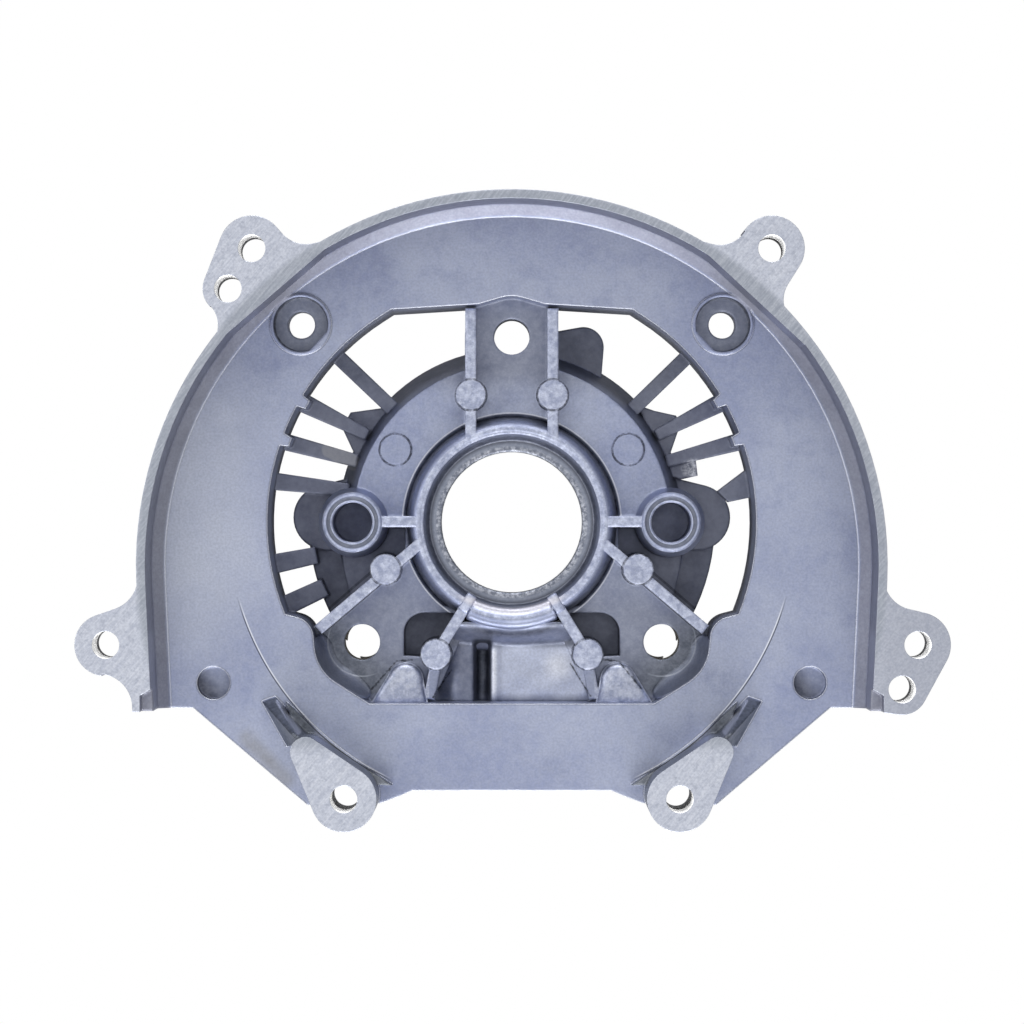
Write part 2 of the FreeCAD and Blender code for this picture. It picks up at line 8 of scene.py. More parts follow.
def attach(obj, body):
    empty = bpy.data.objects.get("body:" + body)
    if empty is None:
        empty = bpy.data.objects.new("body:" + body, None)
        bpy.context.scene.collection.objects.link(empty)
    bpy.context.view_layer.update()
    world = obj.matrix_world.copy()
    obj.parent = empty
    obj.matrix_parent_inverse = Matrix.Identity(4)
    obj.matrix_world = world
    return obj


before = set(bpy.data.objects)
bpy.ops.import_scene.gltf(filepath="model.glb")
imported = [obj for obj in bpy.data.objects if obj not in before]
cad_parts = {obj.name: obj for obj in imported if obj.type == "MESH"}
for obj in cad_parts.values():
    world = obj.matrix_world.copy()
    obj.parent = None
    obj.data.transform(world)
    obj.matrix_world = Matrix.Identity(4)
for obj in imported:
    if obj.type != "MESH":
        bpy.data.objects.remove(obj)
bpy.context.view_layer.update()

MM = 0.001

# Heights in millimetres of the casting's faces and of the foot of the countersinks
WEB = 20.0
RIB = 26.0
FLOOR = 28.0
COUNTERSINK = 36.7
RIM = 48.0

# Places in millimetres from the bore, seen along it; those of a pair are given for the right side
RING_CENTRE = (0.0, -10.16, 0.0)
COIL_BOSS = (39.2, 0.0, 0.0)
STUD = (37.0, -29.6, 0.0)
FLOOR_HOLE = (51.8, 48.6, 0.0)
RECESS = (73.2, -39.4, 0.0)
STUB = (44.9, 13.4, 0.0)
SPOKE_END = ((-45.4, 18.0), (-39.4, 14.8))

# Radius of the seat with its step
SEAT_EDGE = 20.0

# A lower rib starts at the collar and runs through its pad
RIB_START = (10.8, -19.7)
RIB_PAD = (18.7, -32.5)

# Screw holes in ears and cover bosses
HOLES = [(97.6, -29.4), (62.5, 65.9), (40.4, -66.5), (68.2, 56.2), (93.8, -40.1)]

# Round pads of the ribs and the disc, with their radius: each has a dark line of die release round it
PADS = [(10.1, 31.4, 3.85), (31.1, -11.6, 3.85), (*RIB_PAD, 3.85), (28.8, 18.0, 3.95)]

# Cracked flash along the lower ribs and over the corner humps
FLASH = [
    ((14.6, -35.2), (19.4, -42.9)), ((-14.9, -36.6), (-19.5, -43.2)),
    ((-34.6, -41.2), (-28.6, -34.4)), ((-28.6, -34.4), (-24.6, -34.0)),
    ((22.4, -34.0), (26.4, -34.3)), ((26.4, -34.3), (31.9, -41.0)),
]


# Colours and nodes

def linear(hex_colour):
    """sRGB hex as the linear RGBA that node sockets take."""
    values = []
    for i in (0, 2, 4):
        part = int(hex_colour[i:i + 2], 16) / 255
        values.append(part / 12.92 if part <= 0.04045 else ((part + 0.055) / 1.055) ** 2.4)
    return (*values, 1.0)


class Tree:
    """The nodes of a material or a world."""

    def __init__(self, owner):
        owner.use_nodes = True
        self.nodes = owner.node_tree.nodes
        self.links = owner.node_tree.links

    def add(self, kind, inputs=None, node=None, **settings):
        """A node with its settings; an input takes a value, a socket or a node for its output in use."""
        node = node or self.nodes.new(kind)
        for name, value in settings.items():
            setattr(node, name, value)
        for key, value in (inputs or {}).items():
            if isinstance(value, bpy.types.Node):
                value = next(socket for socket in value.outputs if socket.enabled)
            if isinstance(value, bpy.types.NodeSocket):
                self.links.new(value, node.inputs[key])
            else:
                node.inputs[key].default_value = value
        return node


class CastingTree(Tree):
    """The nodes of the casting, with the places, faces and grains that its finishes share.

    Lengths are millimetres. A map range takes the range it reads as inputs 1 and 2 and the range it
    gives as 3 and 4; a colour mix takes its share as input 0 and its colours as 6 and 7."""

    def __init__(self, owner):
        super().__init__(owner)
        add = self.add
        metres = add("ShaderNodeTexCoord").outputs["Object"]
        self.place = add("ShaderNodeVectorMath", {0: metres, "Scale": 1 / MM}, operation="SCALE")
        self.x, self.y, self.z = add("ShaderNodeSeparateXYZ", {0: self.place}).outputs
        self.fold_x = add("ShaderNodeMath", {0: self.x}, operation="ABSOLUTE")
        self.flat = add("ShaderNodeCombineXYZ", {0: self.x, 1: self.y, 2: 0.0})
        self.folded = add("ShaderNodeCombineXYZ", {0: self.fold_x, 1: self.y, 2: 0.0})
        self.off_axis = add("ShaderNodeVectorMath", {0: self.flat}, operation="LENGTH")
        self.off_ring = add("ShaderNodeVectorMath", {0: self.flat, 1: RING_CENTRE}, operation="DISTANCE")
        self.face_normal = add("ShaderNodeNewGeometry").outputs["True Normal"]
        upward = add("ShaderNodeSeparateXYZ", {0: self.face_normal}).outputs[2]
        self.facing_up = add("ShaderNodeMapRange", {0: upward, 1: 0.9, 2: 0.98},
                             interpolation_type="SMOOTHSTEP")

        # Faces that a cutter has passed over: the rim with ears and bosses, and the seat with its step
        rim_level = add("ShaderNodeMapRange", {0: self.z, 1: RIM - 0.3, 2: RIM - 0.1})
        self.rim = add("ShaderNodeMath", {0: rim_level, 1: self.facing_up}, operation="MULTIPLY")
        self.bosses = add("ShaderNodeMapRange", {0: self.y, 1: -52.0, 2: -56.0},
                          interpolation_type="SMOOTHSTEP")
        self.seat = add("ShaderNodeMapRange", {0: self.off_axis, 1: SEAT_EDGE, 2: SEAT_EDGE + 0.3, 3: 1.0,
                                               4: 0.0})
        self.machined = add("ShaderNodeMath", {0: self.rim, 1: self.seat}, operation="MAXIMUM")

        # Cast faces by their level
        self.rib_faces = add("ShaderNodeMapRange", {0: self.z, 1: RIB - 0.15, 2: RIB - 0.05})
        below_ribs = add("ShaderNodeMapRange", {0: self.z, 1: RIB + 0.3, 2: RIB + 0.5, 3: 1.0, 4: 0.0})
        for share in (self.facing_up, below_ribs):
            self.rib_faces = add("ShaderNodeMath", {0: self.rib_faces, 1: share}, operation="MULTIPLY")
        self.below_pads = add("ShaderNodeMapRange", {0: self.z, 1: WEB + 0.3, 2: WEB + 1.0, 3: 1.0, 4: 0.0})
        self.sunk = add("ShaderNodeMapRange", {0: self.z, 1: FLOOR - 0.5, 2: FLOOR - 0.1, 3: 1.0, 4: 0.0})
        self.floor_edge = add("ShaderNodeMath", {0: self.z, 1: FLOOR - 0.1, 2: 0.5}, operation="COMPARE")

        # Blots of 7 mm and mottling of 1.6 mm in the skin
        self.blots = add("ShaderNodeTexNoise", {"Vector": self.place, "Scale": 1 / 7, "Detail": 4.0,
                                                "Roughness": 0.6})
        self.mottle = add("ShaderNodeTexNoise", {"Vector": self.place, "Scale": 1 / 1.6, "Detail": 4.0,
                                                 "Roughness": 0.7})
        self.mottled = add("ShaderNodeMapRange", {0: self.mottle, 1: 0.38, 2: 0.62})

        # Cutter marks: fine scratches in one direction, drawn 0.5 mm apart so that they show
        across = (0.0, 0.0, math.radians(40))
        drawn_out = add("ShaderNodeMapping", {"Vector": self.place, "Rotation": across})
        drawn_out = add("ShaderNodeMapping", {"Vector": drawn_out, "Scale": (1.0, 0.06, 1.0)})
        self.marks = add("ShaderNodeTexNoise", {"Vector": drawn_out, "Scale": 2.0, "Detail": 3.0,
                                                "Roughness": 0.7})

        # The insides of the screw holes
        self.in_hole = 0.0
        for x, y in HOLES:
            reach = add("ShaderNodeVectorMath", {0: self.folded, 1: (x, y, 0.0)}, operation="DISTANCE")
            inside = add("ShaderNodeMath", {0: reach, 1: 3.36}, operation="LESS_THAN")
            self.in_hole = add("ShaderNodeMath", {0: self.in_hole, 1: inside}, operation="MAXIMUM")
        below_face = add("ShaderNodeMath", {0: self.z, 1: RIM - 0.05}, operation="LESS_THAN")
        self.in_hole = add("ShaderNodeMath", {0: self.in_hole, 1: below_face}, operation="MULTIPLY")


def near_line(tree, flat, start, end):
    """Distance from a straight line between two points, seen along the bore."""
    run = Vector((end[0] - start[0], end[1] - start[1], 0.0))
    lead = tree.add("ShaderNodeVectorMath", {0: flat, 1: (*start, 0.0)}, operation="SUBTRACT")
    along = tree.add("ShaderNodeVectorMath", {0: lead, 1: tuple(run / run.length_squared)},
                     operation="DOT_PRODUCT")
    share = tree.add("ShaderNodeClamp", {0: along})
    foot = tree.add("ShaderNodeVectorMath", {0: tuple(run), "Scale": share}, operation="SCALE")
    return tree.add("ShaderNodeVectorMath", {0: lead, 1: foot}, operation="DISTANCE")


def soft_line(tree, distance, middle, inner, outer, strength, **settings):
    """A line where a distance has its middle value, full up to inner on both sides and gone at outer."""
    miss = tree.add("ShaderNodeMath", {0: distance, 1: middle}, operation="SUBTRACT")
    miss = tree.add("ShaderNodeMath", {0: miss}, operation="ABSOLUTE")
    return tree.add("ShaderNodeMapRange", {0: miss, 1: inner, 2: outer, 3: strength, 4: 0.0}, **settings)


# Finishes of the casting, with painted light and shade among them: most take the colour so far and give it
# back with their own part

def skin_tones(tree):
    """Blue-grey casting skin with broad stains and blots, and a broad painted highlight that makes the left
    of the floor paler.
    """
    add = tree.add
    stains = add("ShaderNodeTexNoise", {"Vector": tree.place, "Scale": 1 / 34, "Detail": 2.0,
                                        "Roughness": 0.5})
    stained = add("ShaderNodeMapRange", {0: stains, 1: 0.38, 2: 0.62}, interpolation_type="SMOOTHSTEP")
    skin = add("ShaderNodeMix", {0: stained, 6: linear("9aa2bf"), 7: linear("adb4cb")}, data_type="RGBA")
    blotted = add("ShaderNodeMapRange", {0: tree.blots, 1: 0.45, 2: 0.7, 4: 0.4},
                  interpolation_type="SMOOTHSTEP")
    skin = add("ShaderNodeMix", {0: blotted, 6: skin, 7: linear("8c94b2")}, data_type="RGBA")
    # Painted highlight that makes the left of the floor paler
    left = add("ShaderNodeVectorMath", {0: tree.flat, 1: (-80.0, 6.0, 0.0)}, operation="SUBTRACT")
    left = add("ShaderNodeVectorMath", {0: left, 1: (1 / 26, 1 / 52, 0.0)}, operation="MULTIPLY")
    left = add("ShaderNodeVectorMath", {0: left}, operation="LENGTH")
    left = add("ShaderNodeMapRange", {0: left, 1: 0.3, 2: 1.1, 3: 0.55, 4: 0.0},
               interpolation_type="SMOOTHSTEP")
    return add("ShaderNodeMix", {0: left, 6: skin, 7: linear("ccd1de")}, data_type="RGBA")


def ring_wall(tree, skin):
    """Inside the ring wall the slope and the wall itself are greyer than the floor: painted shade, darkest
    on the wall.
    """
    add = tree.add
    slope = add("ShaderNodeMapRange", {0: tree.off_ring, 1: 84.4, 2: 85.4, 4: 0.7})
    above_floor = add("ShaderNodeMapRange", {0: tree.z, 1: FLOOR + 0.1, 2: FLOOR + 0.6})
    slope = add("ShaderNodeMath", {0: slope, 1: above_floor}, operation="MULTIPLY")
    skin = add("ShaderNodeMix", {0: slope, 6: skin, 7: linear("9d9ca4")}, data_type="RGBA")
    wall = add("ShaderNodeMapRange", {0: tree.off_ring, 1: 87.2, 2: 87.7, 4: 0.7})
    above_slope = add("ShaderNodeMapRange", {0: tree.z, 1: FLOOR + 3.0, 2: FLOOR + 4.0})
    inner_side = add("ShaderNodeMapRange", {0: tree.off_ring, 1: 88.8, 2: 89.2, 3: 1.0, 4: 0.3})
    for share in (above_slope, inner_side):
        wall = add("ShaderNodeMath", {0: wall, 1: share}, operation="MULTIPLY")
    return add("ShaderNodeMix", {0: wall, 6: skin, 7: linear("70707a")}, data_type="RGBA")


def deep_faces(tree, skin):
    """Painted shade darkens the deep faces, and a little the web above the bore and below the collar."""
    add = tree.add
    deep = add("ShaderNodeMapRange", {0: tree.z, 1: 13.0, 2: 19.2, 3: 0.72, 4: 0.0},
               interpolation_type="SMOOTHSTEP")
    skin = add("ShaderNodeMix", {0: deep, 6: skin, 7: linear("4b4b52")}, data_type="RGBA")
    low = add("ShaderNodeMapRange", {0: tree.y, 1: -6.0, 2: -24.0, 4: 0.56}, interpolation_type="SMOOTHSTEP")
    high = add("ShaderNodeMapRange", {0: tree.y, 1: 30.0, 2: 38.0, 4: 0.62}, interpolation_type="SMOOTHSTEP")
    shaded = add("ShaderNodeMath", {0: low, 1: high}, operation="MAXIMUM")
    up_to_web = add("ShaderNodeMapRange", {0: tree.z, 1: WEB - 0.1, 2: WEB + 1.0, 3: 1.0, 4: 0.0})
    shaded = add("ShaderNodeMath", {0: shaded, 1: up_to_web}, operation="MULTIPLY")
    return add("ShaderNodeMix", {0: shaded, 6: skin, 7: linear("5d606c")}, data_type="RGBA")


def block_and_groove(tree, skin):
    """Below the collar a painted highlight makes a block bright, most to its right where a painted glint
    sits, with painted shade in the groove at its left, a painted highlight on the edge between them and
    painted shade at the foot of the slope.
    """
    add = tree.add
    # Painted highlight: the block is brightened
    lower_end = add("ShaderNodeMapRange", {0: tree.y, 1: -42.2, 2: -44.0, 3: 1.0, 4: 0.0})
    upper_end = add("ShaderNodeMapRange", {0: tree.y, 1: -30.0, 2: -31.6, 4: 0.75})
    right_end = add("ShaderNodeMapRange", {0: tree.x, 1: 17.5, 2: 19.5, 3: 1.0, 4: 0.0})
    block = add("ShaderNodeMapRange", {0: tree.x, 1: -5.4, 2: -4.4})
    for share in (upper_end, lower_end, right_end, tree.below_pads):
        block = add("ShaderNodeMath", {0: block, 1: share}, operation="MULTIPLY")
    skin = add("ShaderNodeMix", {0: block, 6: skin, 7: linear("dce3f9")}, data_type="RGBA")
    # A painted glint near the block's right end
    painted_gleam = add("ShaderNodeVectorMath", {0: tree.flat, 1: (11.6, -35.6, 0.0)}, operation="DISTANCE")
    painted_gleam = add("ShaderNodeMapRange", {0: painted_gleam, 1: 0.5, 2: 5.5, 3: 1.0, 4: 0.0},
                interpolation_type="SMOOTHSTEP")
    painted_gleam = add("ShaderNodeMath", {0: painted_gleam, 1: block}, operation="MULTIPLY")
    skin = add("ShaderNodeMix", {0: painted_gleam, 6: skin, 7: linear("f2f5ff")}, data_type="RGBA")

    # Painted shade in the groove, and a painted highlight on the edge beside it
    groove = add("ShaderNodeMath", {0: tree.x, 1: -7.1, 2: 1.6}, operation="COMPARE")
    groove = add("ShaderNodeMath", {0: groove, 1: 0.7}, operation="MULTIPLY")
    lit_edge = soft_line(tree, tree.x, -4.5, 0.3, 1.0, 0.7)
    below_slope = add("ShaderNodeMapRange", {0: tree.y, 1: -30.8, 2: -32.0})
    for share in (below_slope, lower_end, tree.below_pads):
        groove = add("ShaderNodeMath", {0: groove, 1: share}, operation="MULTIPLY")
        lit_edge = add("ShaderNodeMath", {0: lit_edge, 1: share}, operation="MULTIPLY")
    skin = add("ShaderNodeMix", {0: groove, 6: skin, 7: linear("363a42")}, data_type="RGBA")
    # Painted shade at the foot of the slope to the collar
    slope_foot_shade = add("ShaderNodeMapRange", {0: tree.y, 1: -31.1, 2: -30.3, 4: 0.55})
    off_collar = add("ShaderNodeMapRange", {0: tree.off_axis, 1: 26.6, 2: 27.4})
    between_ribs = add("ShaderNodeMath", {0: tree.y, 1: 0.617, 2: tree.fold_x}, operation="MULTIPLY_ADD")
    between_ribs = add("ShaderNodeMath", {0: between_ribs, 1: -1.3}, operation="LESS_THAN")
    for share in (off_collar, between_ribs):
        slope_foot_shade = add("ShaderNodeMath", {0: slope_foot_shade, 1: share}, operation="MULTIPLY")
    skin = add("ShaderNodeMix", {0: slope_foot_shade, 6: skin, 7: linear("5b5e68")}, data_type="RGBA")
    return add("ShaderNodeMix", {0: lit_edge, 6: skin, 7: linear("f0f2fa")}, data_type="RGBA")


def collar_ring_shade(tree):
    """Share of the painted shade in dark circles: the hollow inside the bead, the channel round it and the
    foot of its lower slope.
    """
    add = tree.add
    below_bead = add("ShaderNodeMapRange", {0: tree.z, 1: 24.0, 2: 25.4, 3: 1.0, 4: 0.0})
    under_bore = add("ShaderNodeMapRange", {0: tree.y, 1: -21.0, 2: -22.5})
    # The part of the ring, its radius, its full and whole half widths and its strength
    lines = [
        (below_bead, 20.5, 0.39, 1.3, 0.8),
        (below_bead, 25.8, 0.405, 1.35, 0.8),
        (under_bore, 23.6, 0.19, 0.95, 0.7),
        (under_bore, 27.4, 0.26, 1.3, 0.6),
    ]
    ring_shade = 0.0
    for part, middle, inner, outer, strength in lines:
        ring = soft_line(tree, tree.off_axis, middle, inner, outer, strength)
        ring = add("ShaderNodeMath", {0: ring, 1: part}, operation="MULTIPLY")
        ring_shade = add("ShaderNodeMath", {0: ring_shade, 1: ring}, operation="MAXIMUM")
    return ring_shade


def bosses_and_recesses(tree, skin):
    """Cover bosses have feet in painted shade and grey sides, and painted shade darkens the blind recesses
    on their left.
    """
    add = tree.add
    foot = add("ShaderNodeMath", {0: tree.z, 1: FLOOR + 4.0, 2: 0.2}, operation="COMPARE")
    foot = add("ShaderNodeMath", {0: foot, 1: 0.6}, operation="MULTIPLY")
    skin = add("ShaderNodeMix", {0: foot, 6: skin, 7: linear("50535e")}, data_type="RGBA")
    # Painted shade on the left of each blind recess
    for way in (-1, 1):
        middle = (way * RECESS[0], RECESS[1], 0.0)
        lead = add("ShaderNodeVectorMath", {0: tree.flat, 1: middle}, operation="SUBTRACT")
        within = add("ShaderNodeVectorMath", {0: lead}, operation="LENGTH")
        within = add("ShaderNodeMapRange", {0: within, 1: 4.0, 2: 4.3, 3: 1.0, 4: 0.0})
        toward = add("ShaderNodeVectorMath", {0: lead, 1: (-0.75, -0.65, 0.0)}, operation="DOT_PRODUCT")
        dark = add("ShaderNodeMapRange", {0: toward, 1: -2.5, 2: 3.5, 3: 0.15, 4: 0.85},
                   interpolation_type="SMOOTHSTEP")
        for share in (within, tree.sunk):
            dark = add("ShaderNodeMath", {0: dark, 1: share}, operation="MULTIPLY")
        skin = add("ShaderNodeMix", {0: dark, 6: skin, 7: linear("3c3e48")}, data_type="RGBA")
    side = add("ShaderNodeMath", {0: tree.z, 1: 38.2, 2: 9.4}, operation="COMPARE")
    for share in (tree.bosses, 0.85):
        side = add("ShaderNodeMath", {0: side, 1: share}, operation="MULTIPLY")
    return add("ShaderNodeMix", {0: side, 6: skin, 7: linear("777b7f")}, data_type="RGBA")


def stud_lobes(tree, skin):
    """Painted shade darkens the web and cove round each lower stud towards the opening's wall, with a faint
    painted highlight in an arc; the hole's wall below the web is painted a pale brownish grey for the light
    on it.
    """
    add = tree.add
    lead = add("ShaderNodeVectorMath", {0: tree.folded, 1: STUD}, operation="SUBTRACT")
    reach = add("ShaderNodeVectorMath", {0: lead}, operation="LENGTH")
    outward = add("ShaderNodeVectorMath", {0: lead, 1: (0.72, -0.69, 0.0)}, operation="DOT_PRODUCT")
    near_stud = add("ShaderNodeMapRange", {0: reach, 1: 12.8, 2: 13.6, 3: 1.0, 4: 0.0})
    cove_level = add("ShaderNodeMath", {0: tree.z, 1: 23.5, 2: 3.9}, operation="COMPARE")
    on_web = add("ShaderNodeMapRange", {0: tree.z, 1: WEB + 0.1, 2: WEB + 0.9, 3: 1.0, 4: 0.4})
    lobe_shade = add("ShaderNodeMapRange", {0: outward, 1: -6.0, 2: 6.0, 4: 0.8}, interpolation_type="SMOOTHSTEP")
    for share in (near_stud, cove_level, on_web):
        lobe_shade = add("ShaderNodeMath", {0: lobe_shade, 1: share}, operation="MULTIPLY")
    skin = add("ShaderNodeMix", {0: lobe_shade, 6: skin, 7: linear("5a5f66")}, data_type="RGBA")
    # Painted highlight in a faint arc
    arc = add("ShaderNodeMath", {0: reach, 1: 8.5, 2: 0.18}, operation="COMPARE")
    arc_part = add("ShaderNodeMapRange", {0: outward, 1: 2.0, 2: 7.0, 4: 0.7})
    for share in (arc_part, near_stud, cove_level):
        arc = add("ShaderNodeMath", {0: arc, 1: share}, operation="MULTIPLY")
    skin = add("ShaderNodeMix", {0: arc, 6: skin, 7: linear("b9bec8")}, data_type="RGBA")
    # Painted light on the stud hole's wall below the web
    hole_wall = add("ShaderNodeMath", {0: reach, 1: 4.6}, operation="LESS_THAN")
    below_web = add("ShaderNodeMath", {0: tree.z, 1: WEB - 0.4}, operation="LESS_THAN")
    hole_wall = add("ShaderNodeMath", {0: hole_wall, 1: below_web}, operation="MULTIPLY")
    return add("ShaderNodeMix", {0: hole_wall, 6: skin, 7: linear("b5b0a4")}, data_type="RGBA")


def rib_shadows(tree, skin):
    """Dark lines along the lower outer ribs."""
    add = tree.add
    beside = near_line(tree, tree.folded, (33.0, -13.2), (46.6, -24.8))
    beside = add("ShaderNodeMath", {0: beside, 1: 1.95, 2: 0.3}, operation="COMPARE")
    for share in (tree.below_pads, 0.7):
        beside = add("ShaderNodeMath", {0: beside, 1: share}, operation="MULTIPLY")
    return add("ShaderNodeMix", {0: beside, 6: skin, 7: linear("35363e")}, data_type="RGBA")


def counterbores(tree, skin):
    """The counterbores have a floor painted grey as shade inside a dark line of painted shade at its edge.
    """
    add = tree.add
    reach = add("ShaderNodeVectorMath", {0: tree.folded, 1: FLOOR_HOLE}, operation="DISTANCE")
    sink = add("ShaderNodeMapRange", {0: reach, 1: 6.7, 2: 6.9, 3: 0.7, 4: 0.0})
    sink = add("ShaderNodeMath", {0: sink, 1: tree.sunk}, operation="MULTIPLY")
    skin = add("ShaderNodeMix", {0: sink, 6: skin, 7: linear("787c88")}, data_type="RGBA")
    line = add("ShaderNodeMath", {0: reach, 1: 6.6, 2: 0.25}, operation="COMPARE")
    for share in (tree.sunk, 0.75):
        line = add("ShaderNodeMath", {0: line, 1: share}, operation="MULTIPLY")
    return add("ShaderNodeMix", {0: line, 6: skin, 7: linear("3a3d46")}, data_type="RGBA")


def boss_ridges(tree, skin):
    """Ridges at the cover bosses: painted shade on the flanks under a painted highlight on the crest."""
    add = tree.add
    above_floor = add("ShaderNodeMapRange", {0: tree.z, 1: FLOOR + 0.1, 2: FLOOR + 0.8})
    flank = near_line(tree, tree.folded, (57.6, -45.0), (53.0, -51.5))
    flank = add("ShaderNodeMapRange", {0: flank, 1: 3.8, 2: 5.8, 3: 0.85, 4: 0.0})
    flank = add("ShaderNodeMath", {0: flank, 1: above_floor}, operation="MULTIPLY")
    skin = add("ShaderNodeMix", {0: flank, 6: skin, 7: linear("565b5f")}, data_type="RGBA")
    crest = near_line(tree, tree.folded, (57.4, -43.8), (51.6, -50.9))
    crest = add("ShaderNodeMapRange", {0: crest, 1: 0.25, 2: 0.6, 3: 0.8, 4: 0.0})
    crest = add("ShaderNodeMath", {0: crest, 1: above_floor}, operation="MULTIPLY")
    return add("ShaderNodeMix", {0: crest, 6: skin, 7: linear("c9ccd8")}, data_type="RGBA")


def dirt(tree, skin):
    """Brownish dirt along the lower left edge."""
    add = tree.add
    edge = near_line(tree, tree.flat, (-65.0, -53.0), (-55.5, -63.0))
    edge = add("ShaderNodeMapRange", {0: edge, 1: 0.4, 2: 3.4, 3: 0.9, 4: 0.0},
               interpolation_type="SMOOTHSTEP")
    edge = add("ShaderNodeMath", {0: edge, 1: tree.blots}, operation="MULTIPLY")
    return add("ShaderNodeMix", {0: edge, 6: skin, 7: linear("8c887c")}, data_type="RGBA")


def rough_faces(tree, skin):
    """Faint mottling of the whole skin, strong on the ribs' faces; painted shade in the groove between the
    rims of each coil boss; a mottled painted highlight on the tops of the corner humps.
    """
    add = tree.add
    faint = add("ShaderNodeMapRange", {0: tree.z, 1: 13.0, 2: 19.2, 3: 0.07, 4: 0.2})
    faint = add("ShaderNodeMath", {0: tree.mottled, 1: faint}, operation="MULTIPLY")
    skin = add("ShaderNodeMix", {0: faint, 6: skin, 7: linear("c4c8d6")}, data_type="RGBA")
    rough = add("ShaderNodeMix", {0: tree.mottled, 6: linear("a0a7c0"), 7: linear("cdd3e6")},
                data_type="RGBA")
    skin = add("ShaderNodeMix", {0: tree.rib_faces, 6: skin, 7: rough}, data_type="RGBA")
    # Painted shade in the groove between the double rims of each coil boss
    between_rims = add("ShaderNodeVectorMath", {0: tree.folded, 1: COIL_BOSS}, operation="DISTANCE")
    between_rims = add("ShaderNodeMath", {0: between_rims, 1: 5.95, 2: 0.5}, operation="COMPARE")
    between_rims = add("ShaderNodeMath", {0: between_rims, 1: 0.75}, operation="MULTIPLY")
    skin = add("ShaderNodeMix", {0: between_rims, 6: skin, 7: linear("4a4d55")}, data_type="RGBA")
    # Mottled painted highlight on the tops of the corner humps
    hump = add("ShaderNodeMath", {0: tree.fold_x, 1: 28.0, 2: 7.6}, operation="COMPARE")
    hump_y = add("ShaderNodeMath", {0: tree.y, 1: -39.4, 2: 5.2}, operation="COMPARE")
    hump_z = add("ShaderNodeMath", {0: tree.z, 1: 23.2, 2: 0.75}, operation="COMPARE")
    for share in (hump_y, hump_z, tree.mottled, 0.65):
        hump = add("ShaderNodeMath", {0: hump, 1: share}, operation="MULTIPLY")
    return add("ShaderNodeMix", {0: hump, 6: skin, 7: linear("e0e4f2")}, data_type="RGBA")


def shining_bead(tree, skin):
    """A painted highlight makes the lower part of the bead shine."""
    add = tree.add
    shine = soft_line(tree, tree.off_axis, 21.7, 0.3, 1.5, 0.75, interpolation_type="SMOOTHSTEP")
    under_bore = add("ShaderNodeMapRange", {0: tree.y, 1: -17.5, 2: -19.0})
    top_of_bead = add("ShaderNodeMapRange", {0: tree.z, 1: 25.0, 2: 25.6})
    for share in (under_bore, top_of_bead):
        shine = add("ShaderNodeMath", {0: shine, 1: share}, operation="MULTIPLY")
    return add("ShaderNodeMix", {0: shine, 6: skin, 7: linear("e9e7ef")}, data_type="RGBA")


def spoke_ends(tree, skin):
    """A spoke with a sawn end and the bright torn stub."""
    add = tree.add
    sawn = near_line(tree, tree.flat, *SPOKE_END)
    sawn = add("ShaderNodeMapRange", {0: sawn, 1: 1.7, 2: 2.1, 3: 0.7, 4: 0.0})
    spoke_level = add("ShaderNodeMapRange", {0: tree.z, 1: 14.2, 2: 14.6, 3: 1.0, 4: 0.0})
    sawn = add("ShaderNodeMath", {0: sawn, 1: spoke_level}, operation="MULTIPLY")
    skin = add("ShaderNodeMix", {0: sawn, 6: skin, 7: linear("9c9da3")}, data_type="RGBA")
    torn = add("ShaderNodeVectorMath", {0: tree.flat, 1: STUB}, operation="DISTANCE")
    torn = add("ShaderNodeMapRange", {0: torn, 1: 1.2, 2: 2.9, 3: 1.0, 4: 0.0})
    torn = add("ShaderNodeMath", {0: torn, 1: tree.mottled}, operation="MULTIPLY")
    return add("ShaderNodeMix", {0: torn, 6: skin, 7: linear("e4e6ee")}, data_type="RGBA")


